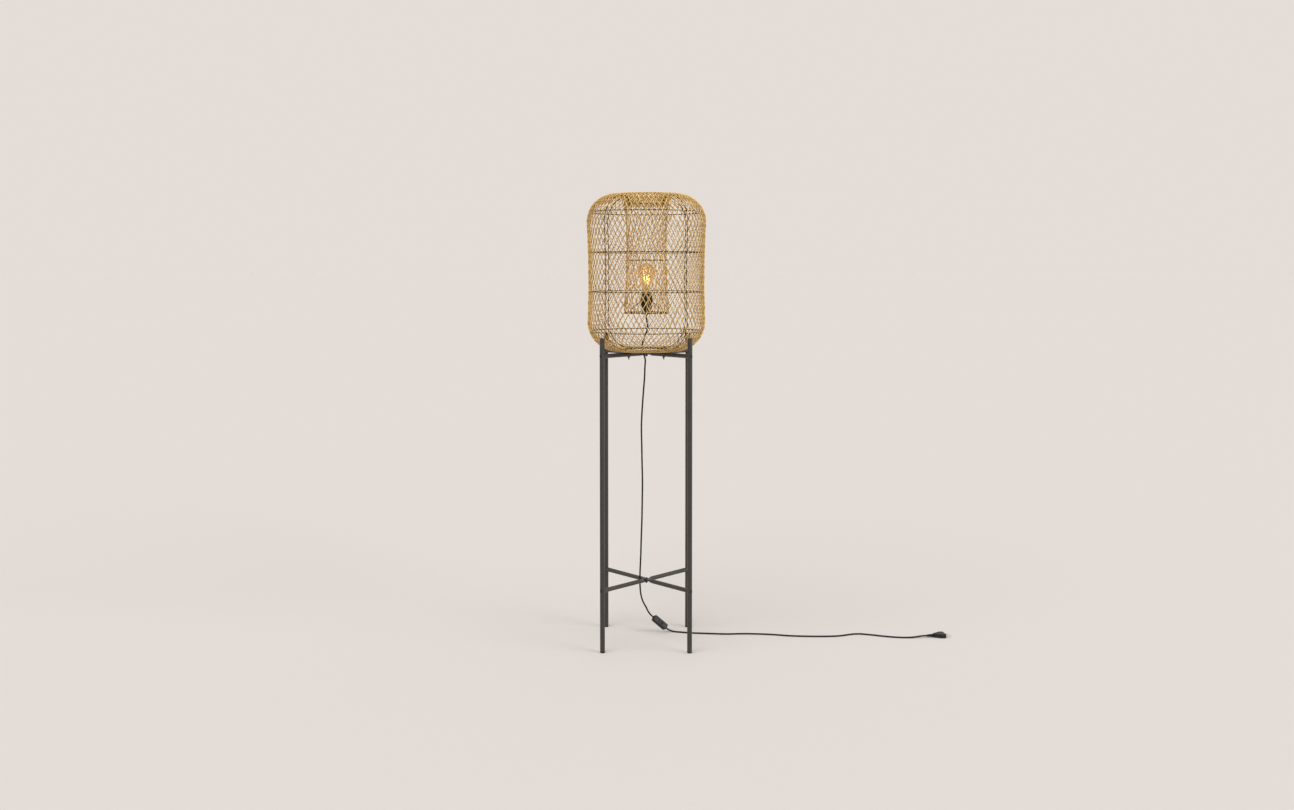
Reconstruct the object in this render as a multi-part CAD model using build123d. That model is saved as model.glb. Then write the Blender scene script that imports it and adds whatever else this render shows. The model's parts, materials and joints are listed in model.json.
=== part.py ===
from build123d import *
import math
import os

# Floor lamp: a double-walled woven rattan shade on a four-legged tube stand.
# Millimetres. Origin on the floor under the lamp's axis, +Z up, the front faces -Y.

# Stand
LAMP_HEIGHT = 1500.0
LEG_OFFSET = 141.8          # leg centres, from the axis along X and along Y
LEG_R, LEG_BORE = 8.0, 6.8
LEG_TOP = 1026.0
CAP_H, GLIDE_H, STEM_R = 2.0, 4.0, 6.75
BAR_R, BAR_BORE = 7.0, 5.8
UPPER_BAR_Z, LOWER_BAR_Z = 967.9, 203.0
FLAT_HALF, NECK_END = 12.0, 26.0    # the pressed middle of a bar, and where it is round again
FLAT_W, FLAT_T = 17.0, 4.6
BOLT_R, BOLT_HOLE_R, BOLT_HEAD_R = 2.95, 3.2, 4.8
COVER_R = 5.25              # plastic cover over the hole that a leg bolt goes in by
CENTRE_BOLT_R, CENTRE_HOLE_R = 2.5, 2.6
LEG_AXIS = LEG_OFFSET * math.sqrt(2)   # leg centre to lamp axis, along a bar

# Shade
SHADE_BOTTOM = 975.0
LOW_BELLY, WAIST, HIGH_BELLY = 197.5, 194.6, 200.0
LOW_CORNER, HIGH_CORNER, FOLD = 100.0, 94.0, 37.0
WALL = 5.0
BASE_OPENING = 90.0
WIRE = 1.5                  # radius of the hoops' and ribs' wire
WIRE_INSET = WALL + WIRE + 0.1
RIB_INSET = WIRE_INSET + 2 * WIRE + 0.05
MOUTH = 69.0                # the sleeve's inside radii: at its mouth, waist and lower end
SLEEVE_NECK, SLEEVE_NECK_Z = 62.3, 1310.0
SLEEVE_END, SLEEVE_END_Z = 72.5, 1101.0
SLEEVE_HOOP_Z = 1279.0
HOOP_HEIGHTS = {"hoop_top": 1438.0, "hoop_upper": 1305.0, "hoop_lower": 1174.0, "hoop_bottom": 1042.0}
BASE_RINGS = {"base_ring_outer": 86.5, "base_ring_inner": 76.5}
BASE_RING_WIRE, BASE_RING_Z = 2.5, 980.6
CLAMP_R = 81.5              # where each clamp bolt stands on its bar
CLAMP_BOLT_R, CLAMP_HOLE_R = 1.95, 2.1

# Lampholder and bulb
GRIP_Z, HOLDER_Z, HOLDER_TOP = 1096.0, 1108.0, 1167.0
SHELL_Z, CONTACT_Z = 1134.0, 1138.5
HOLDER_R = 19.7
SPIDER_Z, SPIDER_T = 1141.0, 1.6
RIM_R, RIM_WIRE, RIM_Z = 69.9, 2.0, 1104.0
BULB_R, BULB_TOP = 29.0, 1270.0
BULB_NECK_R, GLASS_T = 13.0, 0.8
CAP_R = 13.2

# Cord, switch and plug
CORD_D = 5.4
CORD_R = CORD_D / 2
SWITCH_UPPER, SWITCH_LOWER = Vector(22.5, 66.0, 56.5), Vector(67.5, 76.0, 15.5)
SWITCH_ROLL = 40.0          # turns the switch's face from the front towards the top
COLLAR_L, COLLAR_R = 1.5, 4.0
SWITCH_W, SWITCH_HALF_T, SWITCH_WALL = 21.0, 8.5, 1.6
ROCKER_R, ROCKER_W, ROCKER_TILT, PIVOT_H = 8.7, 9.4, 7.0, 5.5
PLUG_START, PLUG_AXIS = Vector(952.0, 25.6, 7.0), Vector(14.0, 2.1, 0.0)
RELIEF_L, PLUG_L, PIN_L, PIN_R, PIN_PITCH = 24.0, 38.0, 19.0, 2.0, 19.0

UPPER_ROUTE = [
    (0, 0, 1096), (0, 0, 1080), (5.5, -3, 1062), (2, -9, 1043), (-7, -17, 1020), (-15, -25, 994),
    (-9, -31, 968), (-2.5, -29, 948), (-5, -27, 925), (-5.5, -25.5, 890), (-9.5, -23, 845),
    (-13.5, -20.5, 790), (-17, -18, 728), (-15.5, -15.5, 665), (-14.5, -13, 600), (-12.8, -10.5, 535),
    (-14, -8, 470), (-15, -5.5, 405), (-17.5, -3.5, 340), (-19, -1.5, 280), (-21.8, 0, 225),
    (-21.9, 4, 190), (-21.1, 14, 166.1), (-18.6, 27, 141.3), (-12.7, 40, 117.4), (-1, 51, 94),
    (9, 63, 68.8), (22.5, 66, 56.5),
]
LOWER_ROUTE = [
    (67.5, 76, 15.5), (72, 77, 11.4), (78.3, 77.9, 7.4), (85.7, 78, 4.4), (95, 76.9, 2.8),
    (108.6, 73.6, 2.7), (126, 68.6, 2.7), (151.5, 62.6, 2.7), (190, 58.5, 2.7), (236, 54, 2.7),
    (280, 50.5, 2.7), (322, 55.5, 2.7), (362, 54.5, 2.7), (403, 51, 2.7), (444, 44, 2.7),
    (484, 33.5, 2.7), (527, 29, 2.7), (577, 27.3, 2.7), (622, 28.6, 2.7), (651, 32, 2.7),
    (672, 40, 2.7), (692, 49, 2.7), (713, 56.5, 2.7), (734, 56.5, 2.7), (754, 50, 2.7),
    (775, 43.5, 2.7), (796, 35, 2.7), (822, 26, 2.7), (851, 19.5, 2.7), (880, 17, 2.7),
    (905, 18.5, 3.4), (922, 21, 5.4), (938, 23.5, 7), (952, 25.6, 7),
]

SIDES = {"front_left": 225, "front_right": 315, "rear_left": 135, "rear_right": 45}
BAR_TURNS = {"a": 45, "b": 135}


def write(name, *solids):
    """One STEP file for one named piece, or for a group of like pieces."""
    shape = solids[0] if len(solids) == 1 else Compound(children=list(solids))
    export_step(shape, f"parts/{name}.step")


def rod(start, end, radius):
    """A round bar between two points."""
    start, end = Vector(*start), Vector(*end)
    length = (end - start).length
    base = Plane(origin=start, z_dir=end - start)
    return base * Cylinder(radius, length, align=(Align.CENTER, Align.CENTER, Align.MIN))


def disc(radius, low, high):
    """A round bar on the lamp's axis, from one height to another."""
    return rod((0, 0, low), (0, 0, high), radius)


def turned(points):
    """A solid of revolution about the lamp's axis, from (radius, height) points."""
    return revolve(Plane.XZ * make_face(Polyline(*points, close=True)), Axis.Z)


def around(shape, turns=SIDES.values()):
    """Copies of a shape made on the +X side, turned about the lamp's axis."""
    return [Rot(0, 0, turn) * shape for turn in turns]


def wire_path(path, radius):
    """A round wire along a path."""
    return sweep(Plane(origin=path @ 0, z_dir=path % 0) * Circle(radius), path=path)


# Stand

def leg(turn):
    """A tube with two pairs of holes: small on the bar's side, wide on the outside."""
    tube = disc(LEG_R, GLIDE_H, LEG_TOP - CAP_H) - disc(LEG_BORE, 0, LEG_TOP)
    for height in (UPPER_BAR_Z, LOWER_BAR_Z):
        tube -= rod((-2 * LEG_R, 0, height), (0, 0, height), BOLT_HOLE_R)
        tube -= rod((0, 0, height), (2 * LEG_R, 0, height), COVER_R + 0.05)
    return Rot(0, 0, turn) * Pos(LEG_AXIS, 0, 0) * tube


def leg_cap():
    top = disc(LEG_R, LEG_TOP - CAP_H, LEG_TOP)
    top = fillet(top.edges().sort_by(Axis.Z)[-1], 0.9)
    return Pos(LEG_AXIS, 0, 0) * (top + disc(STEM_R, LEG_TOP - 14, LEG_TOP - CAP_H))


def foot_glide():
    foot = disc(LEG_R, 0, GLIDE_H)
    foot = chamfer(foot.edges().sort_by(Axis.Z)[0], 0.8)
    return Pos(LEG_AXIS, 0, 0) * (foot + disc(STEM_R, GLIDE_H, 18))


def half_bar(level):
    """The +X half of a bar on its own axis; level is -1 for the lower flat and 1 for the upper."""
    lift = level * FLAT_T / 2
    section = Plane(origin=(FLAT_HALF, 0, lift), x_dir=(0, 1, 0), z_dir=(1, 0, 0))
    flat_end = section * RectangleRounded(FLAT_W, FLAT_T, FLAT_T / 2 - 0.01)
    round_plane = Plane(origin=(NECK_END, 0, 0), x_dir=(0, 1, 0), z_dir=(1, 0, 0))
    round_end = round_plane * RectangleRounded(2 * BAR_R, 2 * BAR_R, BAR_R - 0.01)
    flat = extrude(flat_end, -FLAT_HALF)
    neck = loft([flat_end.face(), round_end.face()], ruled=True)
    tube = rod((NECK_END, 0, 0), (LEG_AXIS, 0, 0), BAR_R)
    tube -= rod((NECK_END + 4, 0, 0), (LEG_AXIS, 0, 0), BAR_BORE)
    tube -= rod((LEG_AXIS, 0, -20), (LEG_AXIS, 0, 20), LEG_R)
    return flat + neck + tube


def cross_bar(level, height, turn, clamped):
    half = half_bar(level)
    bar = half + Rot(0, 0, 180) * half
    bar -= disc(CENTRE_HOLE_R, -20, 20)
    if clamped:
        for x in (-CLAMP_R, CLAMP_R):
            bar -= rod((x, 0, -20), (x, 0, 20), CLAMP_HOLE_R)
    return Pos(0, 0, height) * Rot(0, 0, turn) * bar


def bar_end_plug(height):
    plug = rod((LEG_AXIS - 34, 0, height), (LEG_AXIS, 0, height), BAR_BORE - 0.05)
    plug -= rod((LEG_AXIS, 0, height - 20), (LEG_AXIS, 0, height + 20), LEG_R)
    return plug - rod((LEG_AXIS - 40, 0, height), (LEG_AXIS, 0, height), BOLT_R + 0.05)


def leg_hole_cover(height):
    """Cover in a leg's outer hole, its face flush with the tube's."""
    cover = rod((0, 0, height), (2 * LEG_R, 0, height), COVER_R)
    skin = disc(LEG_R + 0.3, height - 10, height + 10) - disc(LEG_BORE - 1.4, height - 11, height + 11)
    return Pos(LEG_AXIS, 0, 0) * (cover & skin)


def button_head(start, direction, radius, height):
    """A round screw head with a domed top and a hexagon socket, its flat face at start."""
    base = Plane(origin=start, z_dir=direction)
    head = Cylinder(radius, height, align=(Align.CENTER, Align.CENTER, Align.MIN))
    head = fillet(head.edges().sort_by(Axis.Z)[-1], height * 0.7)
    socket = Pos(0, 0, height * 0.45) * extrude(RegularPolygon(radius * 0.42, 6), height)
    return base * (head - socket)


def leg_bolt(height):
    """Bolt from inside a leg into the bar's end; its head's seat follows the tube's bore."""
    head = rod((-LEG_R, 0, height), (-2.6, 0, height), BOLT_HEAD_R) & disc(LEG_BORE, height - 10, height + 10)
    socket = Plane(origin=(-4.6, 0, height), z_dir=(1, 0, 0)) * extrude(RegularPolygon(2.3, 6), 10)
    shank = rod((-28, 0, height), (-LEG_BORE + 0.5, 0, height), BOLT_R)
    return Pos(LEG_AXIS, 0, 0) * (head + shank - socket)


def hexagon_nut(across_flats, thickness, hole, top):
    nut = extrude(RegularPolygon(across_flats / 2, 6, major_radius=False), -thickness)
    return Pos(0, 0, top) * nut - disc(hole, top - 20, top + 20)


def centre_bolt(height):
    head = button_head((0, 0, height + FLAT_T), (0, 0, 1), 4.75, 2.8)
    return head + disc(CENTRE_BOLT_R, height - FLAT_T - 6, height + FLAT_T)


def build_stand():
    for side, turn in SIDES.items():
        write(f"leg_{side}", leg(turn))
    write("leg_top_caps", *around(leg_cap()))
    write("foot_glides", *around(foot_glide()))
    for (letter, turn), level in zip(BAR_TURNS.items(), (-1, 1)):
        write(f"upper_cross_bar_{letter}", cross_bar(level, UPPER_BAR_Z, turn, True))
        write(f"lower_cross_bar_{letter}", cross_bar(level, LOWER_BAR_Z, turn, False))
    heights = (UPPER_BAR_Z, LOWER_BAR_Z)
    write("bar_end_plugs", *[plug for z in heights for plug in around(bar_end_plug(z))])
    write("leg_bolts", *[bolt for z in heights for bolt in around(leg_bolt(z))])
    write("leg_hole_covers", *[cover for z in heights for cover in around(leg_hole_cover(z))])
    write("centre_bolts", *[centre_bolt(z) for z in heights])
    write("centre_nuts", *[hexagon_nut(8.0, 4.0, CENTRE_BOLT_R + 0.02, z - FLAT_T) for z in heights])


# Shade

LOW_CENTRE = (LOW_BELLY - LOW_CORNER, SHADE_BOTTOM + LOW_CORNER)
HIGH_CENTRE = (HIGH_BELLY - HIGH_CORNER, LAMP_HEIGHT - HIGH_CORNER)
FOLD_CENTRE = (MOUTH + FOLD, LAMP_HEIGHT - FOLD)


def waist_reach(radius):
    """Heights from the waist down and up to the corner centres, for a waist arc of this radius."""
    low, high = LOW_BELLY - WAIST, HIGH_BELLY - WAIST
    down = math.sqrt(low * (2 * radius + 2 * LOW_CORNER - low))
    up = math.sqrt(high * (2 * radius + 2 * HIGH_CORNER - high))
    return down, up


def waist_arc():
    """The waist arc's radius, found by halving, so that it is tangent to both corner arcs."""
    small, large = 100.0, 100000.0
    for _ in range(80):
        middle = (small + large) / 2
        if sum(waist_reach(middle)) < HIGH_CENTRE[1] - LOW_CENTRE[1]:
            small = middle
        else:
            large = middle
    return large


WAIST_ARC = waist_arc()
WAIST_CENTRE = (WAIST + WAIST_ARC, LOW_CENTRE[1] + waist_reach(WAIST_ARC)[0])
LOW_TURN = math.degrees(math.atan2(WAIST_CENTRE[1] - LOW_CENTRE[1], WAIST_CENTRE[0] - LOW_CENTRE[0]))
HIGH_TURN = math.degrees(math.atan2(HIGH_CENTRE[1] - WAIST_CENTRE[1], WAIST_CENTRE[0] - HIGH_CENTRE[0]))


def wall_arcs(inset):
    """The shade's outer skin, moved inwards: bottom corner, waist, top corner and mouth fold."""
    return [
        CenterArc(LOW_CENTRE, LOW_CORNER - inset, -90, 90 + LOW_TURN),
        CenterArc(WAIST_CENTRE, WAIST_ARC + inset, 180 + LOW_TURN, -LOW_TURN - HIGH_TURN),
        CenterArc(HIGH_CENTRE, HIGH_CORNER - inset, -HIGH_TURN, 90 + HIGH_TURN),
        CenterArc(FOLD_CENTRE, FOLD - inset, 90, 90),
    ]


def woven_band(outer, inner):
    """The solid between two runs of a wall's profile that are drawn the same way."""
    ends = Line(outer[0] @ 0, inner[0] @ 0), Line(outer[-1] @ 1, inner[-1] @ 1)
    return revolve(Plane.XZ * make_face([*outer, *inner, *ends]), Axis.Z)


def outer_weave():
    """The outer wall in three bands: floor and bottom corner, side, top corner and mouth fold."""
    outer, inner = wall_arcs(0), wall_arcs(WALL)
    floor_out = Line((BASE_OPENING, SHADE_BOTTOM), outer[0] @ 0)
    floor_in = Line((BASE_OPENING, SHADE_BOTTOM + WALL), inner[0] @ 0)
    return {
        "base": woven_band([floor_out, outer[0]], [floor_in, inner[0]]),
        "side": woven_band(outer[1:2], inner[1:2]),
        "shoulder": woven_band(outer[2:], inner[2:]),
    }


def sleeve_arc(outset):
    """The sleeve's inside, moved outwards."""
    ends = (MOUTH + outset, FOLD_CENTRE[1]), (SLEEVE_END + outset, SLEEVE_END_Z)
    return ThreePointArc(ends[0], (SLEEVE_NECK + outset, SLEEVE_NECK_Z), ends[1])


def inner_sleeve():
    """The inner wall, which carries on down from the mouth's fold."""
    return woven_band([sleeve_arc(0)], [sleeve_arc(WALL)])


def skin_radius(height, inset):
    """Radius of the outer skin, moved inwards by inset, at a height on its side or a corner."""
    for centre, radius, low, high in (
        (LOW_CENTRE, LOW_CORNER - inset, SHADE_BOTTOM, LOW_CENTRE[1]),
        (HIGH_CENTRE, HIGH_CORNER - inset, HIGH_CENTRE[1], LAMP_HEIGHT),
    ):
        if low <= height <= high:
            return centre[0] + math.sqrt(radius ** 2 - (height - centre[1]) ** 2)
    radius = WAIST_ARC + inset
    return WAIST_CENTRE[0] - math.sqrt(radius ** 2 - (height - WAIST_CENTRE[1]) ** 2)


def sleeve_radius(height):
    """Radius of the sleeve's outside."""
    arc = sleeve_arc(WALL)
    centre = arc.arc_center
    return centre.X - math.sqrt(arc.radius ** 2 - (height - centre.Y) ** 2)


def rib():
    """One upright of the shade's wire frame, on the +X side, welded inside the hoops."""
    arcs = wall_arcs(RIB_INSET)
    start = arcs[0] @ 0
    foot = Line((BASE_RINGS["base_ring_outer"], start.Y), start)
    path = Plane.XZ * Wire([foot, *arcs])
    return wire_path(path, WIRE)


def holder_spider():
    """Rim ring of the sleeve with three arms and the plate that the lampholder is clamped in."""
    plate = disc(24.0, SPIDER_Z, SPIDER_Z + SPIDER_T) - disc(HOLDER_R + 0.2, SPIDER_Z - 1, SPIDER_Z + 3)
    spider = plate + Pos(0, 0, RIM_Z) * Torus(RIM_R, RIM_WIRE)
    for arm in around(rod((23.2, 0, SPIDER_Z + 0.6), (RIM_R, 0, RIM_Z), 1.3), (90, 210, 330)):
        spider += arm
    return spider


def shade_saddle():
    """Plastic saddle on a bar, which carries both base rings."""
    low, high = UPPER_BAR_Z + 1, BASE_RING_Z - BASE_RING_WIRE
    block = Box(17, 12, high - low, align=(Align.MIN, Align.CENTER, Align.MIN))
    block = fillet(block.edges().filter_by(Axis.Z), 2.0)
    block = Pos(72, 0, low) * block
    block -= rod((60, 0, UPPER_BAR_Z), (100, 0, UPPER_BAR_Z), BAR_R)
    return block - rod((CLAMP_R, 0, low - 5), (CLAMP_R, 0, high + 5), CLAMP_HOLE_R)


PLATE_Z = BASE_RING_Z + BASE_RING_WIRE
PLATE_T = 2.0


def clamp_plate():
    plate = Box(11, 14, PLATE_T, align=(Align.MIN, Align.CENTER, Align.MIN))
    plate = fillet(plate.edges().filter_by(Axis.Z), 2.0)
    return Pos(75, 0, PLATE_Z) * plate - rod((CLAMP_R, 0, 900), (CLAMP_R, 0, 1000), CLAMP_HOLE_R)


def clamp_bolt():
    top = PLATE_Z + PLATE_T
    head = button_head((CLAMP_R, 0, top), (0, 0, 1), 3.8, 2.4)
    return head + rod((CLAMP_R, 0, UPPER_BAR_Z - BAR_R - 9.5), (CLAMP_R, 0, top), CLAMP_BOLT_R)


def build_shade():
    for band, solid in outer_weave().items():
        write(f"shade_weave_{band}", solid)
    write("shade_inner_sleeve", inner_sleeve())
    for name, height in HOOP_HEIGHTS.items():
        write(name, Pos(0, 0, height) * Torus(skin_radius(height, WIRE_INSET), WIRE))
    mouth_ring_r = MOUTH + WALL + WIRE + 0.05
    write("mouth_ring", Pos(0, 0, FOLD_CENTRE[1]) * Torus(mouth_ring_r, WIRE))
    write("sleeve_hoop", Pos(0, 0, SLEEVE_HOOP_Z) * Torus(sleeve_radius(SLEEVE_HOOP_Z) + WIRE + 0.1, WIRE))
    for name, radius in BASE_RINGS.items():
        write(name, Pos(0, 0, BASE_RING_Z) * Torus(radius, BASE_RING_WIRE))
    for side, turn in SIDES.items():
        write(f"rib_{side}", Rot(0, 0, turn) * rib())
    write("holder_spider", holder_spider())
    write("shade_saddles", *around(shade_saddle()))
    write("clamp_plates", *around(clamp_plate()))
    write("clamp_bolts", *around(clamp_bolt()))
    nut = Pos(CLAMP_R, 0, 0) * hexagon_nut(7.0, 3.2, 2.0, UPPER_BAR_Z - BAR_R)
    write("clamp_nuts", *around(nut))


# Lampholder and bulb

def holder_cap():
    wall = 1.8
    outside = [(5, HOLDER_Z), (8, HOLDER_Z), (14, 1112.5), (18, 1118.5), (20, 1125), (20, SHELL_Z)]
    inside = [(r - wall, z + wall * 0.6) for r, z in reversed(outside[1:-1])]
    return turned([*outside, (20 - wall, SHELL_Z), *inside, (5, HOLDER_Z + wall * 0.6)])


def holder_shell():
    lip = HOLDER_TOP - 3
    return turned([
        (HOLDER_R, SHELL_Z), (HOLDER_R, HOLDER_TOP), (14.6, HOLDER_TOP),
        (14.6, lip), (16.6, lip), (16.6, SHELL_Z),
    ])


def shade_ring(low):
    ring = disc(21.3, low, low + 3.6) - disc(HOLDER_R + 0.05, low - 1, low + 5)
    notch = Pos(21.9, 0, low) * Cylinder(1.1, 10)
    for turn in range(0, 360, 20):
        ring -= Rot(0, 0, turn) * notch
    return ring


def bulb_glass():
    centre = (0, BULB_TOP - BULB_R)
    slope = 20.0
    lean = math.radians(slope)
    shell = []
    for inset in (0.0, GLASS_T):
        belly = CenterArc(centre, BULB_R - inset, -slope, 90 + slope)
        neck_r = BULB_NECK_R - inset
        blend = 60.0 + inset
        start = belly @ 0
        cone_r = neck_r + blend * (1 - math.cos(lean))
        cone_z = start.Y - (start.X - cone_r) / math.tan(lean)
        neck_top = cone_z - blend * math.sin(lean)
        shell.append([
            Line((neck_r, HOLDER_TOP), (neck_r, neck_top)),
            CenterArc((neck_r + blend, neck_top), blend, 180, -slope),
            Line((cone_r, cone_z), start),
            belly,
        ])
    outer, inner = shell
    ends = Line(outer[0] @ 0, inner[0] @ 0), Line(outer[-1] @ 1, inner[-1] @ 1)
    return revolve(Plane.XZ * make_face([*outer, *inner, *ends]), Axis.Z)


def bulb_cap():
    """Threaded metal cap, its thread as rings of the same pitch."""
    crest, root, pitch, low = CAP_R, 12.5, 3.6, 1146.5
    points = [(10.5, low)]
    for turn in range(5):
        z = low + 1.0 + turn * pitch
        points += [(root, z), (crest, z + pitch * 0.35), (crest, z + pitch * 0.5), (root, z + pitch * 0.85)]
    points += [(CAP_R, HOLDER_TOP - 0.6), (CAP_R, HOLDER_TOP), (BULB_NECK_R - 2, HOLDER_TOP), (10.5, low + 2)]
    return turned(points)


def bulb_contact():
    low = CONTACT_Z + 3.0
    return turned([(0, low), (4, low), (4.6, low + 0.8), (4.6, 1143.2), (10.4, 1146.4), (10.4, 1148), (0, 1148)])


def bulb_stem():
    flare = BULB_NECK_R - GLASS_T - 0.1
    return turned([
        (0, HOLDER_TOP), (flare, HOLDER_TOP), (flare, HOLDER_TOP + 1.5), (4, 1176),
        (2.6, 1184), (2.6, 1204), (4, 1206), (4, 1209), (0, 1209),
    ])


def bulb_filaments():
    """Six glowing rods, standing in a ring round the stem's head."""
    rods = []
    for turn in range(0, 360, 60):
        foot, head = math.radians(turn), math.radians(turn + 35)
        low = (7.5 * math.cos(foot), 7.5 * math.sin(foot), 1197)
        high = (12.5 * math.cos(head), 12.5 * math.sin(head), 1247)
        rods.append(rod(low, high, 0.9))
    return rods


def build_lamp():
    grip = disc(5.5, GRIP_Z, HOLDER_Z) + disc(4.9, HOLDER_Z, HOLDER_Z + 6)
    write("cord_grip", chamfer(grip.edges().sort_by(Axis.Z)[0], 0.8))
    write("holder_cap", holder_cap())
    write("holder_shell", holder_shell())
    write("shade_ring_lower", shade_ring(SPIDER_Z - 3.6))
    write("shade_ring_upper", shade_ring(SPIDER_Z + SPIDER_T))
    write("holder_insulator", disc(16.5, SHELL_Z, CONTACT_Z))
    write("holder_thread_shell", disc(14.4, CONTACT_Z, 1162) - disc(13.75, CONTACT_Z - 1, 1163))
    write("holder_contact", disc(4.0, CONTACT_Z, CONTACT_Z + 2.7))
    write("bulb_glass", bulb_glass())
    write("bulb_cap", bulb_cap())
    write("bulb_contact", bulb_contact())
    write("bulb_stem", bulb_stem())
    write("bulb_filaments", *bulb_filaments())


# Cord, switch and plug

def cord(name, route):
    """A round cord: straight runs joined by tangent arcs as large as the runs allow."""
    points = [Vector(*point) for point in route]
    runs = [b - a for a, b in zip(points, points[1:])]
    radii = []
    for before, after in zip(runs, runs[1:]):
        half_turn = math.radians(before.get_angle(after)) / 2
        radii.append(0.45 * min(before.length, after.length) / math.tan(half_turn))
    path = FilletPolyline(*points, radius=radii)
    tube = wire_path(path, CORD_R)
    expected = math.pi * CORD_R ** 2 * path.length
    print(name, "length", round(path.length, 1), "smallest radius", round(min(radii), 1))
    print("  radii", [round(radius) for radius in radii])
    print("  runs", [round(run.length) for run in runs])
    print("  volume", round(tube.volume), "section times length", round(expected))
    write(name, tube)


SWITCH_AXIS = (SWITCH_LOWER - SWITCH_UPPER).normalized()


def switch_plane():
    """Middle of the switch: x along the cord, z out of its face."""
    toward_front = (Vector(0, -1, 0) + SWITCH_AXIS * SWITCH_AXIS.Y).normalized()
    face = toward_front.rotate(Axis((0, 0, 0), SWITCH_AXIS), -SWITCH_ROLL)
    return Plane(origin=(SWITCH_UPPER + SWITCH_LOWER) / 2, x_dir=SWITCH_AXIS, z_dir=face)


SWITCH_L = (SWITCH_LOWER - SWITCH_UPPER).length - 2 * COLLAR_L
SCREW_X = 21.0


def switch_half(side):
    """Half of the switch's housing, a hollow shell; side is 1 for the cover and -1 for the base."""
    half = Box(SWITCH_L, SWITCH_W, SWITCH_HALF_T, align=(Align.CENTER, Align.CENTER, Align.MIN))
    half = fillet(half.edges().filter_by(Axis.Z), 5.0)
    half = fillet(half.faces().sort_by(Axis.Z)[-1].edges(), 2.4)
    length, width = SWITCH_L - 2 * SWITCH_WALL, SWITCH_W - 2 * SWITCH_WALL
    hollow = Box(length, width, SWITCH_HALF_T - SWITCH_WALL, align=(Align.CENTER, Align.CENTER, Align.MIN))
    half -= fillet(hollow.edges().filter_by(Axis.Z), 3.4)
    for x in (-SCREW_X, SCREW_X):
        half += Pos(x, 0, 0) * disc(3.0, 0, SWITCH_HALF_T - SWITCH_WALL)
    return half if side > 0 else Rot(180, 0, 0) * half


def switch_cover():
    cover = switch_half(1)
    window = Box(2 * ROCKER_R + 0.6, ROCKER_W + 0.6, 40)
    cover -= window
    lug = Pos(0, 0, 2.5) * Box(6, 1.6, SWITCH_HALF_T - 3.5, align=(Align.CENTER, Align.CENTER, Align.MIN))
    for y in (-5.8, 5.8):
        cover += Pos(0, y, 0) * lug
    cover -= rod((0, -6.8, PIVOT_H), (0, 6.8, PIVOT_H), 1.25)
    for x in (-SCREW_X, SCREW_X):
        cover -= Pos(x, 0, 0) * disc(1.1, -1, 5)
    return cover


def switch_base():
    base = switch_half(-1)
    for x in (-SCREW_X, SCREW_X):
        base -= Pos(x, 0, 0) * disc(1.35, -20, 1)
        base -= Pos(x, 0, 0) * disc(2.4, -20, -SWITCH_HALF_T + 1.2)
    return base


def switch_screw(x):
    shank = disc(1.1, -SWITCH_HALF_T + 1.2, 5)
    head = disc(2.4, -SWITCH_HALF_T, -SWITCH_HALF_T + 1.2)
    slot = Pos(0, 0, -SWITCH_HALF_T) * Box(6, 0.8, 1.0)
    return Pos(x, 0, 0) * (shank + head - slot)


def switch_rocker():
    """Rocker with a shallow V on top; both ends are arcs about its pivot pins."""
    side = Plane.XZ.offset(-ROCKER_W / 2)
    blank = make_face(Polyline((-9, -2), (9, -2), (9, 5.2), (0, 3.9), (-9, 5.2), close=True))
    rocker = extrude(side * (blank & Circle(ROCKER_R)), ROCKER_W)
    top = [e for e in rocker.edges() if e.center().Z > 3.0 and abs(abs(e.center().Y) - ROCKER_W / 2) < 0.01]
    rocker = fillet(top, 0.5)
    for x in (-6.4, -5.0, -3.6, 3.6, 5.0, 6.4):
        rib = Pos(x, 0, 3.9 + abs(x) * 1.3 / 9) * Rot(90, 0, 0) * Cylinder(0.35, ROCKER_W - 2)
        rocker += rib
    rocker += rod((0, -6.5, 0), (0, 6.5, 0), 1.2)
    return Pos(0, 0, PIVOT_H) * Rot(0, -ROCKER_TILT, 0) * rocker


def switch_contact(y):
    low = -SWITCH_HALF_T + SWITCH_WALL
    strip = Pos(0, y, low) * Box(26, 3, 1.2, align=(Align.CENTER, Align.CENTER, Align.MIN))
    post = Pos(0, y, low + 1.2) * Box(4, 3, 3.6, align=(Align.CENTER, Align.CENTER, Align.MIN))
    return strip + post


def build_switch():
    place = switch_plane()
    write("switch_base", place * switch_base())
    write("switch_cover", place * switch_cover())
    write("switch_rocker", place * switch_rocker())
    write("switch_screws", *[place * switch_screw(x) for x in (-SCREW_X, SCREW_X)])
    write("switch_contacts", *[place * switch_contact(y) for y in (-4.5, 4.5)])
    collar = rod((SWITCH_L / 2, 0, 0), (SWITCH_L / 2 + COLLAR_L, 0, 0), COLLAR_R)
    write("switch_collars", *[place * piece for piece in (collar, Rot(0, 0, 180) * collar)])
    pivot = place.from_local_coords(Vector(0, 0, PIVOT_H))
    print("rocker pivot mm", pivot, "axis", place.y_dir, "face", place.z_dir)
    print("switch lowest point", min((place * switch_half(side)).bounding_box().min.Z for side in (-1, 1)))


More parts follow.
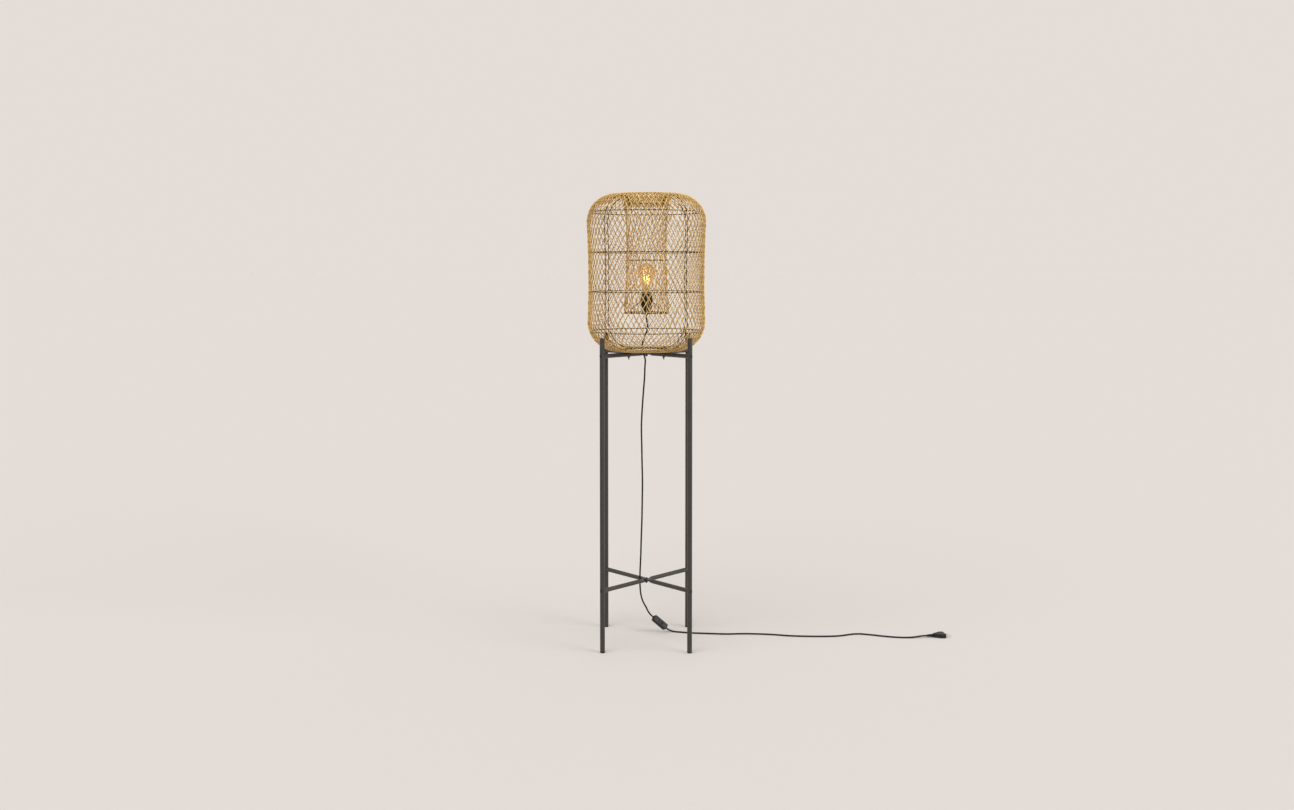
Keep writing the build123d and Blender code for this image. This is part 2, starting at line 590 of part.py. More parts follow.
def build_plug():
    place = Plane(origin=PLUG_START, x_dir=PLUG_AXIS, z_dir=(0, 0, 1))
    relief = Solid.make_cone(3.6, 5.6, RELIEF_L, Plane(origin=(0, 0, 0), z_dir=(1, 0, 0)))
    for x in (6.0, 10.5, 15.0, 19.5):
        groove = rod((x, 0, 0), (x + 1.8, 0, 0), 8) - rod((x, 0, 0), (x + 1.8, 0, 0), 3.2)
        relief -= groove
    write("plug_strain_relief", place * relief)
    half = 17.6
    outline = Polyline((0, 6.5), (6, 8), (22, half), (PLUG_L, half), (PLUG_L, -half), (22, -half),
                       (6, -8), (0, -6.5), close=True)
    body = extrude(make_face(outline), 13.7)
    body = fillet(body.edges().filter_by(Axis.Z), 2.5)
    body = fillet(body.edges().filter_by(Plane.XY), 2.0)
    body = Pos(RELIEF_L, 0, -6.85) * body
    write("plug_body", place * body)
    start = RELIEF_L + PLUG_L
    pins = []
    for y in (-PIN_PITCH / 2, PIN_PITCH / 2):
        pin = rod((start, y, 0), (start + PIN_L, y, 0), PIN_R)
        pins.append(place * fillet(pin.edges().sort_by(Axis.X)[-1], 1.2))
    write("plug_pins", *pins)
    for y in (-PIN_PITCH / 2, PIN_PITCH / 2):
        print("pin start mm", place.from_local_coords(Vector(start, y, 0)), "axis", place.x_dir)


os.makedirs("parts", exist_ok=True)
build_stand()
build_shade()
build_lamp()
cord("cord_upper", UPPER_ROUTE)
cord("cord_lower", LOWER_ROUTE)
build_switch()
build_plug()
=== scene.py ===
import json
import math

import bpy
import numpy as np
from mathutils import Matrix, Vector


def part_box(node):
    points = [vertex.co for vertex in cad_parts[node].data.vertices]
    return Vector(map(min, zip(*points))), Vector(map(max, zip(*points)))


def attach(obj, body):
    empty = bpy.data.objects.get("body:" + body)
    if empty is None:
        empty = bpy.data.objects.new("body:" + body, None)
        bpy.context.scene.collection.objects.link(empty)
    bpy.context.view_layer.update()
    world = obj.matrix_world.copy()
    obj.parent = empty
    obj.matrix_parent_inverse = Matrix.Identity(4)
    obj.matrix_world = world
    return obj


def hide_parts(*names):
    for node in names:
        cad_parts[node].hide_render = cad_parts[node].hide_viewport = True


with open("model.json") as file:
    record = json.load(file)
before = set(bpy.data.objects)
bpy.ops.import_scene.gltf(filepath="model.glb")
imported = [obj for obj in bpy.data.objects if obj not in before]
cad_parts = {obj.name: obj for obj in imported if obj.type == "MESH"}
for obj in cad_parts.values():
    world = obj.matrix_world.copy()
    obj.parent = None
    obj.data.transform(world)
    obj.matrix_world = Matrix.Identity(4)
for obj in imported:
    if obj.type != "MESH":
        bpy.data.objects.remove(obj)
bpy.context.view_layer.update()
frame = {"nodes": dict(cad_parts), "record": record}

# Metres, in the lamp's frame: origin on the floor under its axis, +Z up, the front faces -Y.

# The woven wall's middle surface: the CAD shade's skin, moved in by SKIN_INSET.
SKIN_INSET = 0.0027
SHADE_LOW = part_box("shade_weave_base")[0].z
SHADE_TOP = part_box("shade_weave_shoulder")[1].z
LOW_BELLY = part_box("shade_weave_base")[1].x
HIGH_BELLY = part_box("shade_weave_shoulder")[1].x
LOW_CORNER, HIGH_CORNER = 0.100, 0.094
LOW_CENTRE = (LOW_BELLY - LOW_CORNER, SHADE_LOW + LOW_CORNER)
HIGH_CENTRE = (HIGH_BELLY - HIGH_CORNER, SHADE_TOP - HIGH_CORNER)
WAIST, WAIST_Z = 0.1946, 1.2151
MOUTH, FOLD = 0.069, 0.037
FOLD_CENTRE = (MOUTH + FOLD, SHADE_TOP - FOLD)
SLEEVE_NECK, SLEEVE_NECK_Z = 0.0623, 1.310
SLEEVE_END, SLEEVE_END_Z = 0.0725, 1.101

# The rings that the strands are wrapped round, as (radius, height), and by how many degrees
BASE_RING, BASE_WIRE, BASE_WRAP = (0.0865, 0.9806), 0.0025, 200
MOUTH_RING, MOUTH_WIRE, MOUTH_WRAP = (0.07555, 1.463), 0.0015, 225
RIM_RING, RIM_WIRE, RIM_WRAP = (0.0699, 1.104), 0.002, 215
TAIL = 0.011                # length of a strand's end that lies on the floor of the shade
CLAMP_HALF = 0.0092         # half the room that the strands leave for each clamp
CLAMP_REACH = 0.026         # how far to each side of a clamp the strands are pushed together

# Strands
STRANDS = 64                # in each of the two directions
SLEEVE_EVERY = 4            # one strand in four goes on down as the sleeve; the rest end at the mouth
LEAN = 0.556                # sideways travel for each metre along the wall's profile
SLEEVE_LEAN = 0.24
STRAND_R = 0.00125
WAVE = 0.00125              # how far a strand swings in and out at its crossings
SIDES = 6                   # of a strand's section
PATH_STEP = 0.00025
WALL_STATIONS = 8           # rings of points to each swing of a strand
SLEEVE_STATIONS = 14
LONGEST_GAP = 0.009         # between two rings of points
SHARPEST_STEP = math.radians(16)
EASE = 0.012                # over which the lean sets in at the base and dies away at the mouth
RIM_EASE = 0.020
MOUTH_BLEND = (-0.004, 0.008)       # where the swing slows to the sleeve's, measured from the mouth
CALM_START = (0.03, 0.06)           # strands are even near their ends and wander in between
CALM_END = (0.04, 0.02)
CLAMP_FADE = (0.026, 0.08)          # over which strands come back from round a clamp
DRIFTS = ((0.0008, 0.055), (0.0005, 0.021))     # sideways wander, as size and length
RIPPLE = (0.00025, 0.033)                       # wander in and out
UNDER_PAINTED_SHADE = 0.4        # painted shade: how much a strand is darkened where it passes under another
WALL_PAINTED_LIGHT = (0.4, 0.6)       # painted light and shade: tone of a strand's flanks, and what its faces turned in and out add
# painted light and shade on the sleeve's strands, as above
SLEEVE_PAINTED_LIGHT = (0.55, 0.25)
CLAMP_TURNS = [math.radians(turn) for turn in (45, 135, 225, 315)]

# Cord
CORD_D = 0.0054
UPPER_ROUTE = [
    (0, 0, 1.096), (0, 0, 1.080), (0.0055, -0.003, 1.062), (0.002, -0.009, 1.043),
    (-0.007, -0.017, 1.020), (-0.015, -0.025, 0.994), (-0.009, -0.031, 0.968),
    (-0.0025, -0.029, 0.948), (-0.005, -0.027, 0.925), (-0.0055, -0.0255, 0.890),
    (-0.0095, -0.023, 0.845), (-0.0135, -0.0205, 0.790), (-0.017, -0.018, 0.728),
    (-0.0155, -0.0155, 0.665), (-0.0145, -0.013, 0.600), (-0.0128, -0.0105, 0.535),
    (-0.014, -0.008, 0.470), (-0.015, -0.0055, 0.405), (-0.0175, -0.0035, 0.340),
    (-0.019, -0.0015, 0.280), (-0.0218, 0, 0.225), (-0.0219, 0.004, 0.190),
    (-0.0211, 0.014, 0.1661), (-0.0186, 0.027, 0.1413), (-0.0127, 0.040, 0.1174),
    (-0.001, 0.051, 0.094), (0.009, 0.063, 0.0688), (0.0225, 0.066, 0.0565),
]
LOWER_ROUTE = [
    (0.0675, 0.076, 0.0155), (0.072, 0.077, 0.0114), (0.0783, 0.0779, 0.0074),
    (0.0857, 0.078, 0.0044), (0.095, 0.0769, 0.0028), (0.1086, 0.0736, 0.0027),
    (0.126, 0.0686, 0.0027), (0.1515, 0.0626, 0.0027), (0.190, 0.0585, 0.0027),
    (0.236, 0.054, 0.0027), (0.280, 0.0505, 0.0027), (0.322, 0.0555, 0.0027),
    (0.362, 0.0545, 0.0027), (0.403, 0.051, 0.0027), (0.444, 0.044, 0.0027),
    (0.484, 0.0335, 0.0027), (0.527, 0.029, 0.0027), (0.577, 0.0273, 0.0027),
    (0.622, 0.0286, 0.0027), (0.651, 0.032, 0.0027), (0.672, 0.040, 0.0027),
    (0.692, 0.049, 0.0027), (0.713, 0.0565, 0.0027), (0.734, 0.0565, 0.0027),
    (0.754, 0.050, 0.0027), (0.775, 0.0435, 0.0027), (0.796, 0.035, 0.0027),
    (0.822, 0.026, 0.0027), (0.851, 0.0195, 0.0027), (0.880, 0.017, 0.0027),
    (0.905, 0.0185, 0.0034), (0.922, 0.021, 0.0054), (0.938, 0.0235, 0.007),
    (0.952, 0.0256, 0.007),
]


# Camera

def build_camera():
    data = bpy.data.cameras.new("camera")
    data.sensor_width = 36.0
    data.lens = 33.13
    data.shift_y = -0.0701
    camera = bpy.data.objects.new("camera", data)
    side, away, height = 0.036, 3.977, 1.251
    camera.location = (side, -away, height)
    pitch = math.radians(2.2)
    yaw = math.atan2(side, away) - 0.0005
    camera.rotation_euler = (math.pi / 2 - pitch, 0.0, yaw)
    bpy.context.scene.collection.objects.link(camera)
    bpy.context.scene.camera = camera


# Materials

def new_material(name):
    """A material, its node tree and its Principled shader."""
    mat = bpy.data.materials.new(name)
    mat.use_nodes = True
    return mat, mat.node_tree, mat.node_tree.nodes["Principled BSDF"]


def node(tree, kind, inputs=None, **settings):
    made = tree.nodes.new(kind)
    for key, value in settings.items():
        setattr(made, key, value)
    for key, value in (inputs or {}).items():
        if isinstance(value, bpy.types.NodeSocket):
            tree.links.new(value, made.inputs[key])
        else:
            made.inputs[key].default_value = value
    return made


def noise(tree, vector, scale, detail=3.0, roughness=0.55):
    inputs = {"Vector": vector, "Scale": scale, "Detail": detail, "Roughness": roughness}
    return node(tree, "ShaderNodeTexNoise", inputs).outputs["Fac"]


def spread(tree, value, low, high, out_low, out_high):
    """value from low to high becomes out_low to out_high, and stays between them."""
    inputs = {"Value": value, "From Min": low, "From Max": high, "To Min": out_low, "To Max": out_high}
    return node(tree, "ShaderNodeMapRange", inputs).outputs["Result"]


def mix_colour(tree, factor, first, second):
    mixer = node(tree, "ShaderNodeMix", data_type="RGBA")
    for socket, value in (("Factor_Float", factor), ("A_Color", first), ("B_Color", second)):
        target = next(s for s in mixer.inputs if s.identifier == socket)
        if isinstance(value, bpy.types.NodeSocket):
            tree.links.new(value, target)
        else:
            target.default_value = value
    return next(s for s in mixer.outputs if s.identifier == "Result_Color")


def rgba(colour):
    return (*colour, 1.0)


def coated(name, dark, light, roughness, grain, bump, metallic=0.0, stretch=(1, 1, 1), coat=0.0,
           specular=0.5):
    """A smooth solid finish: cloudy tone, uneven gloss and a fine grain, on the piece's own place."""
    mat, tree, shader = new_material(name)
    place = node(tree, "ShaderNodeTexCoord").outputs["Object"]
    place = node(tree, "ShaderNodeMapping", {"Vector": place, "Scale": stretch}).outputs["Vector"]
    cloud = noise(tree, place, grain * 0.06)
    fine = noise(tree, place, grain, 4.0, 0.6)
    tone = spread(tree, cloud, 0.3, 0.7, 0.0, 1.0)
    tree.links.new(mix_colour(tree, tone, rgba(dark), rgba(light)), shader.inputs["Base Color"])
    gloss = spread(tree, fine, 0.3, 0.7, roughness * 0.88, roughness * 1.14)
    tree.links.new(gloss, shader.inputs["Roughness"])
    relief = node(tree, "ShaderNodeBump", {"Height": fine, "Strength": bump, "Distance": 0.0002})
    tree.links.new(relief.outputs["Normal"], shader.inputs["Normal"])
    shader.inputs["Metallic"].default_value = metallic
    shader.inputs["Specular IOR Level"].default_value = specular
    shader.inputs["Coat Weight"].default_value = coat
    shader.inputs["Coat Roughness"].default_value = 0.2
    return mat


def along_strand(tree, grain, stretch, detail):
    """Noise that is drawn out along a strand."""
    place = node(tree, "ShaderNodeMapping", {"Vector": grain, "Scale": stretch}).outputs["Vector"]
    return noise(tree, place, 1.0, detail)


def rattan():
    """Peeled rattan core: each strand has its own tone, with long fibres and darker pores, and painted shade
    on its flanks and where it passes under another strand.
    """
    mat, tree, shader = new_material("rattan")
    tone = node(tree, "ShaderNodeAttribute", attribute_name="tone").outputs["Fac"]
    grain = node(tree, "ShaderNodeAttribute", attribute_name="grain").outputs["Vector"]
    fibres = along_strand(tree, grain, (5, 5, 60), 4.0)
    stain = along_strand(tree, grain, (0.6, 0.6, 22), 2.0)
    pores = along_strand(tree, grain, (9, 9, 260), 2.0)
    painted_light = node(tree, "ShaderNodeAttribute", attribute_name="painted_light").outputs["Fac"]
    base = mix_colour(tree, tone, rgba((0.88, 0.54, 0.155)), rgba((1.0, 0.80, 0.34)))
    # painted shade: the strand's colour is mixed towards a dark brown where the attribute read above is low,
    # on its flanks and where it passes under another strand
    painted_shade_brown = mix_colour(tree, tone, rgba((0.13, 0.057, 0.012)), rgba((0.22, 0.105, 0.026)))
    base = mix_colour(tree, spread(tree, painted_light, 0.45, 1.0, 0.0, 1.0), painted_shade_brown, base)
    streak = spread(tree, fibres, 0.35, 0.65, 0.0, 1.0)
    base = mix_colour(tree, streak, mix_colour(tree, 0.35, base, rgba((0.20, 0.10, 0.035))), base)
    patch = spread(tree, stain, 0.3, 0.62, 0.45, 0.0)
    base = mix_colour(tree, patch, base, rgba((0.30, 0.145, 0.05)))
    dots = spread(tree, pores, 0.62, 0.74, 0.0, 0.5)
    base = mix_colour(tree, dots, base, rgba((0.14, 0.065, 0.022)))
    tree.links.new(base, shader.inputs["Base Color"])
    tree.links.new(spread(tree, fibres, 0.3, 0.7, 0.56, 0.38), shader.inputs["Roughness"])
    relief = node(tree, "ShaderNodeBump", {"Height": fibres, "Strength": 0.5, "Distance": 0.00025})
    tree.links.new(relief.outputs["Normal"], shader.inputs["Normal"])
    shader.inputs["Specular IOR Level"].default_value = 0.25
    return mat


def glass(name, tint, clear_alpha, edge_alpha, glow):
    """Thin blown glass: the tint thickens towards the outline, with faint streaks."""
    mat, tree, shader = new_material(name)
    place = node(tree, "ShaderNodeTexCoord").outputs["Object"]
    streaks = noise(tree, place, 90.0, 2.0)
    shade = tuple(channel * 0.8 for channel in tint)
    colour = mix_colour(tree, spread(tree, streaks, 0.3, 0.7, 0.0, 1.0), rgba(shade), rgba(tint))
    unlit = mix_colour(tree, 0.92, colour, rgba((0.02, 0.01, 0.003)))
    tree.links.new(unlit, shader.inputs["Base Color"])
    facing = node(tree, "ShaderNodeLayerWeight", {"Blend": 0.45}).outputs["Facing"]
    tree.links.new(spread(tree, facing, 0.0, 0.9, clear_alpha, edge_alpha), shader.inputs["Alpha"])
    tree.links.new(spread(tree, streaks, 0.3, 0.7, 0.03, 0.09), shader.inputs["Roughness"])
    tree.links.new(colour, shader.inputs["Emission Color"])
    shader.inputs["Emission Strength"].default_value = glow
    return mat


def glowing(name, colour, strength):
    """A filament rod coated with phosphor: bright, with a slightly uneven glow."""
    mat, tree, shader = new_material(name)
    place = node(tree, "ShaderNodeTexCoord").outputs["Object"]
    beads = noise(tree, place, 900.0, 1.0)
    shader.inputs["Base Color"].default_value = rgba(colour)
    shader.inputs["Roughness"].default_value = 0.6
    deeper = (colour[0], colour[1] * 0.75, colour[2] * 0.5)
    light = mix_colour(tree, spread(tree, beads, 0.35, 0.65, 0.0, 1.0), rgba(deeper), rgba(colour))
    tree.links.new(light, shader.inputs["Emission Color"])
    shader.inputs["Emission Strength"].default_value = strength
    return mat


def build_materials():
    return {
        "black_steel": coated("black_steel", (0.018, 0.015, 0.013), (0.028, 0.024, 0.021), 0.34, 1100,
                              0.35, specular=0.6),
        "black_bolts": coated("black_bolts", (0.020, 0.019, 0.018), (0.036, 0.034, 0.032), 0.34, 1600,
                              0.2, 0.4),
        "bare_steel": coated("bare_steel", (0.50, 0.49, 0.47), (0.66, 0.65, 0.63), 0.30, 900, 0.25, 1.0,
                             (1, 1, 0.15)),
        "brown_wire": coated("brown_wire", (0.022, 0.012, 0.006), (0.045, 0.024, 0.012), 0.5, 700, 0.3,
                             specular=0.2),
        "rattan": rattan(),
        "black_plastic": coated("black_plastic", (0.013, 0.012, 0.012), (0.021, 0.020, 0.019), 0.42,
                                2600, 0.3, specular=0.2),
        "black_rubber": coated("black_rubber", (0.007, 0.007, 0.007), (0.012, 0.0115, 0.011), 0.5, 1500,
                               0.25, specular=0.15),
        "white_ceramic": coated("white_ceramic", (0.66, 0.62, 0.55), (0.78, 0.75, 0.68), 0.25, 500, 0.1,
                                coat=0.5),
        "brass": coated("brass", (0.56, 0.39, 0.16), (0.74, 0.55, 0.27), 0.28, 900, 0.2, 1.0,
                        (1, 1, 0.2)),
        "zinc_screws": coated("zinc_screws", (0.48, 0.48, 0.47), (0.66, 0.66, 0.63), 0.36, 1400, 0.2,
                              1.0),
        "plated_pins": coated("plated_pins", (0.68, 0.67, 0.64), (0.80, 0.79, 0.76), 0.16, 1200, 0.1,
                              1.0, (0.2, 1, 1)),
        "amber_glass": glass("amber_glass", (0.95, 0.55, 0.18), 0.30, 0.58, 0.36),
        "clear_glass": glass("clear_glass", (1.0, 0.86, 0.62), 0.25, 0.7, 0.12),
        "black_glass": coated("black_glass", (0.012, 0.012, 0.014), (0.02, 0.02, 0.022), 0.12, 800,
                              0.05, coat=0.4),
        "filament": glowing("filament", (1.0, 0.66, 0.30), 1.1),
    }


def dress_frame(materials):
    """Every CAD node takes its record's material."""
    slot_of = {part["node"]: part["material_slot"] for part in frame["record"]["subparts"]}
    for name, piece in frame["nodes"].items():
        piece.data.materials.clear()
        piece.data.materials.append(materials[slot_of[name]])


# The weave

def arc(centre, radius, start, end):
    """Points on an arc in the (radius, height) plane; the angles are in degrees."""
    count = max(3, int(abs(end - start) * 2 * max(1.0, radius)))
    angles = np.radians(np.linspace(start, end, count))
    return np.column_stack([centre[0] + radius * np.cos(angles), centre[1] + radius * np.sin(angles)])


def circle_through(a, b, c):
    """Centre and radius of the circle through three points."""
    (ax, ay), (bx, by), (cx, cy) = a, b, c
    d = 2 * (ax * (by - cy) + bx * (cy - ay) + cx * (ay - by))
    a2, b2, c2 = ax * ax + ay * ay, bx * bx + by * by, cx * cx + cy * cy
    x = (a2 * (by - cy) + b2 * (cy - ay) + c2 * (ay - by)) / d
    y = (a2 * (cx - bx) + b2 * (ax - cx) + c2 * (bx - ax)) / d
    return (x, y), math.hypot(ax - x, ay - y)


def waist_circle():
    """Centre and radius of the waist's arc, which is tangent to both corner arcs."""
    low = LOW_BELLY - WAIST
    rise = WAIST_Z - LOW_CENTRE[1]
    radius = (rise ** 2 + low ** 2) / (2 * low) - LOW_CORNER
    return (WAIST + radius, WAIST_Z), radius


def wall_profile():
    """The outer wall's middle line, from its tail on the base ring up and over to the mouth."""
    waist_centre, waist_r = waist_circle()
    low_turn = math.degrees(math.atan2(WAIST_Z - LOW_CENTRE[1], waist_centre[0] - LOW_CENTRE[0]))
    high_turn = math.degrees(math.atan2(HIGH_CENTRE[1] - WAIST_Z, waist_centre[0] - HIGH_CENTRE[0]))
    wrap = BASE_WIRE + STRAND_R
    tail = np.array([(BASE_RING[0] + TAIL, BASE_RING[1] + wrap * 0.55)])
    return np.vstack([
        tail,
        arc(BASE_RING, wrap, 270 - BASE_WRAP, 270),
        arc(LOW_CENTRE, LOW_CORNER - SKIN_INSET, -88, low_turn),
        arc(waist_centre, waist_r + SKIN_INSET, 180 + low_turn, 180 - high_turn),
        arc(HIGH_CENTRE, HIGH_CORNER - SKIN_INSET, -high_turn, 90),
        arc(FOLD_CENTRE, FOLD - SKIN_INSET, 90, 165),
    ])


def mouth_wrap():
    """Where a strand that ends at the mouth goes round the mouth ring."""
    return arc(MOUTH_RING, MOUTH_WIRE + STRAND_R, 180, 180 + MOUTH_WRAP)


def sleeve_profile():
    """The sleeve's middle line, from the fold down to the rim ring and round it."""
    top = (MOUTH + SKIN_INSET, FOLD_CENTRE[1])
    neck = (SLEEVE_NECK + SKIN_INSET, SLEEVE_NECK_Z)
    end = (SLEEVE_END + SKIN_INSET, SLEEVE_END_Z)
    centre, radius = circle_through(top, neck, end)
    heights = np.linspace(top[1], SLEEVE_END_Z + 0.013, 400)
    radii = centre[0] - np.sqrt(radius ** 2 - (heights - centre[1]) ** 2)
    return np.vstack([np.column_stack([radii, heights]), arc(RIM_RING, RIM_WIRE + STRAND_R, 0, -RIM_WRAP)])


def resample(points, step):
    """The same line with evenly spaced points."""
    lengths = np.concatenate([[0], np.cumsum(np.hypot(*np.diff(points, axis=0).T))])
    keep = np.concatenate([[True], np.diff(lengths) > 1e-7])
    lengths, points = lengths[keep], points[keep]
    along = np.arange(0, lengths[-1], step)
    return along, np.column_stack([np.interp(along, lengths, points[:, i]) for i in (0, 1)])


def smooth(values, reach):
    """Moving average over 2 * reach + 1 values, with the ends held."""
    padded = np.concatenate([np.full(reach, values[0]), values, np.full(reach, values[-1])])
    return np.convolve(padded, np.full(2 * reach + 1, 1 / (2 * reach + 1)), "valid")


def ramp(values, start, end):
    """0 before start, 1 after end, and smooth between them."""
    t = np.clip((values - start) / (end - start), 0, 1)
    return t * t * (3 - 2 * t)


class Path:
    """A strand's way over the wall: radius and height, outward normal, and angle turned, by length."""

    def __init__(self, points, lean_at):
        self.s, line = resample(points, PATH_STEP)
        line = np.column_stack([smooth(line[:, 0], 5), smooth(line[:, 1], 5)])
        tangent = np.gradient(line, axis=0)
        tangent /= np.hypot(*tangent.T)[:, None]
        self.line = line
        self.normal = np.column_stack([tangent[:, 1], -tangent[:, 0]])
        lean = lean_at(self.s, self.s[-1])
        self.turn = np.concatenate([[0], np.cumsum(lean / line[:, 0])[:-1] * PATH_STEP])

    def stations(self, first, last, strands, per_wave):
        """Indices along the path: per_wave to each swing of a strand, more where the wall bends."""
        facing = np.unwrap(np.arctan2(self.normal[:, 1], self.normal[:, 0]))
        need = np.maximum.reduce([
            np.gradient(self.turn, self.s) * strands / (2 * math.pi) * per_wave,
            np.abs(np.gradient(facing, self.s)) / SHARPEST_STEP,
            np.full(len(self.s), 1 / LONGEST_GAP),
        ])
        run = np.concatenate([[0], np.cumsum(need[first:last])]) * PATH_STEP
        picks = np.interp(np.linspace(0, run[-1], int(run[-1]) + 2), run, np.arange(first, last + 1))
        return np.unique(np.round(picks).astype(int))


def weave_paths():
    """Paths of a strand that ends at the mouth and of one that goes on as the sleeve, from an index on."""
    base_wrap = TAIL + (BASE_WIRE + STRAND_R) * math.radians(BASE_WRAP)
    mouth_end = (MOUTH_WIRE + STRAND_R) * math.radians(MOUTH_WRAP)
    rim_end = (RIM_WIRE + STRAND_R) * math.radians(RIM_WRAP)
    wall = wall_profile()
    wall_length = np.hypot(*np.diff(wall, axis=0).T).sum() + FOLD * math.radians(15)

    def ending_lean(s, end):
        leaning = ramp(s, base_wrap, base_wrap + EASE)
        return LEAN * leaning * (1 - ramp(s, end - mouth_end - EASE, end - mouth_end))

    def sleeve_lean(s, end):
        lean = LEAN + (SLEEVE_LEAN - LEAN) * ramp(s, wall_length - 0.01, wall_length + 0.03)
        leaning = ramp(s, base_wrap, base_wrap + EASE)
        return lean * leaning * (1 - ramp(s, end - rim_end - RIM_EASE, end - rim_end))

    ending = Path(np.vstack([wall, mouth_wrap()]), ending_lean)
    going_on = Path(np.vstack([wall, sleeve_profile()]), sleeve_lean)
    # A strand starts and ends half way between two crossings, so that strands lie side by side there.
    half = math.pi / (2 * STRANDS)
    fit = (round(ending.turn[-1] / (2 * half)) * 2 * half) / ending.turn[-1]
    ending.turn = ending.turn * fit + half
    going_on.turn = going_on.turn * fit + half
    mouth = int(wall_length / PATH_STEP)
    sleeve_half = half * SLEEVE_EVERY
    turned = going_on.turn[-1] - sleeve_half
    wanted = round(turned / (2 * sleeve_half) - 0.5) * 2 * sleeve_half + sleeve_half
    stretch = (wanted + sleeve_half - going_on.turn[mouth]) / (going_on.turn[-1] - going_on.turn[mouth])
    going_on.turn[mouth:] = going_on.turn[mouth] + (going_on.turn[mouth:] - going_on.turn[mouth]) * stretch
    return ending, going_on, mouth


def part_round_clamps(angles, weight):
    """Strands near a clamp, on the base ring, are pushed aside and lie closer together."""
    moved = angles.copy()
    for clamp in CLAMP_TURNS:
        off = (moved - clamp + math.pi) % (2 * math.pi) - math.pi
        x = off * BASE_RING[0]
        pushed = np.sign(x) * (CLAMP_HALF + np.abs(x) * (1 - CLAMP_HALF / CLAMP_REACH))
        moved = np.where(np.abs(x) < CLAMP_REACH, moved + weight * (pushed - x) / BASE_RING[0], moved)
    return moved


def strand(path, picks, number, direction, mouth, painted_light_levels):
    """One strand's points, tones, grain marks and painted light and shade, as rings of SIDES points."""
    s, line, normal, turn = path.s[picks], path.line[picks], path.normal[picks], path.turn[picks]
    end = path.s[-1]
    tone, thick, phase, wander = np.random.default_rng([direction + 1, number]).random(4)
    calm = ramp(s, *CALM_START) * (1 - ramp(s, end - CALM_END[0], end - CALM_END[1]))
    (slow_size, slow_length), (fast_size, fast_length) = DRIFTS
    drift = slow_size * np.sin(s / slow_length + phase * 40)
    drift += fast_size * np.sin(s / fast_length + wander * 40)
    angle = 2 * math.pi * number / STRANDS + direction * (turn + drift * calm / np.maximum(line[:, 0], 0.06))
    angle = part_round_clamps(angle, 1 - ramp(s, *CLAMP_FADE))
    swing = np.cos(STRANDS * turn)
    beyond_mouth = np.zeros(len(s))
    if mouth is not None:
        beyond_mouth = ramp(s, mouth + MOUTH_BLEND[0], mouth + MOUTH_BLEND[1])
        sleeve_waves = STRANDS / SLEEVE_EVERY
        slow = np.cos(sleeve_waves * (turn - math.pi / (2 * sleeve_waves)))
        swing += (slow - swing) * beyond_mouth
    out = direction * WAVE * swing + calm * RIPPLE[0] * np.sin(s / RIPPLE[1] + wander * 30)
    radius = line[:, 0] + normal[:, 0] * out
    height = line[:, 1] + normal[:, 1] * out
    centre = np.column_stack([radius * np.cos(angle), radius * np.sin(angle), height])
    tangent = np.gradient(centre, axis=0)
    tangent /= np.linalg.norm(tangent, axis=1)[:, None]
    outward = np.column_stack([normal[:, 0] * np.cos(angle), normal[:, 0] * np.sin(angle), normal[:, 1]])
    outward -= tangent * (outward * tangent).sum(1)[:, None]
    outward /= np.linalg.norm(outward, axis=1)[:, None]
    across = np.cross(tangent, outward)
    size = STRAND_R * (0.92 + 0.16 * thick) * (1 + 0.03 * np.sin(s / 0.04 + phase * 50))
    around = np.linspace(0, 2 * math.pi, SIDES, endpoint=False)
    ring = outward[:, None, :] * np.cos(around)[None, :, None]
    ring = ring + across[:, None, :] * np.sin(around)[None, :, None]
    points = (centre[:, None, :] + ring * size[:, None, None]).reshape(-1, 3)
    tones = np.clip(0.05 + 0.9 * tone + 0.10 * np.sin(s / 0.09 + wander * 20), 0, 1)
    marks = np.empty((len(s), SIDES, 3))
    marks[:, :, 0] = np.cos(around) + phase * 70
    marks[:, :, 1] = np.sin(around)
    marks[:, :, 2] = s[:, None] + wander * 9
    over = direction * swing * (1 - beyond_mouth)
    flank, sides = painted_light_levels
    # painted light and shade: flanks darker than the faces turned in and out, and the outward face darker
    # where the strand passes under another and lighter where it passes over (the face turned in the other
    # way round)
    painted_light = flank + sides * np.abs(np.cos(around)) + UNDER_PAINTED_SHADE * over[:, None] * np.cos(around)
    return points, np.repeat(tones, SIDES), marks.reshape(-1, 3), painted_light.ravel()


def tube_faces(rows, start):
    """Faces of a closed tube of rings of SIDES points, whose first point is number start."""
    quads = [
        (start + r * SIDES + k, start + r * SIDES + (k + 1) % SIDES,
         start + (r + 1) * SIDES + (k + 1) % SIDES, start + (r + 1) * SIDES + k)
        for r in range(rows - 1) for k in range(SIDES)
    ]
    first_cap = tuple(start + k for k in reversed(range(SIDES)))
    last_cap = tuple(start + (rows - 1) * SIDES + k for k in range(SIDES))
    return [*quads, first_cap, last_cap]


def weave_piece(name, strands, material, replaced):
    """One mesh of many strands, with what the rattan material reads from them."""
    faces, start = [], 0
    for points, *_ in strands:
        faces += tube_faces(len(points) // SIDES, start)
        start += len(points)
    points, tones, marks, painted_light = (np.concatenate(part) for part in zip(*strands))
    mesh = bpy.data.meshes.new(name)
    mesh.from_pydata(points.tolist(), [], faces)
    mesh.polygons.foreach_set("use_smooth", np.ones(len(mesh.polygons), dtype=bool))
    for attribute, values in (("tone", tones), ("painted_light", painted_light)):
        mesh.attributes.new(attribute, "FLOAT", "POINT").data.foreach_set("value", values.astype(np.float32))
    grain = mesh.attributes.new("grain", "FLOAT_VECTOR", "POINT")
    grain.data.foreach_set("vector", marks.astype(np.float32).ravel())
    mesh.materials.append(material)
    piece = bpy.data.objects.new(name, mesh)
    bpy.context.scene.collection.objects.link(piece)
    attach(piece, "lamp")
    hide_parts(*replaced)


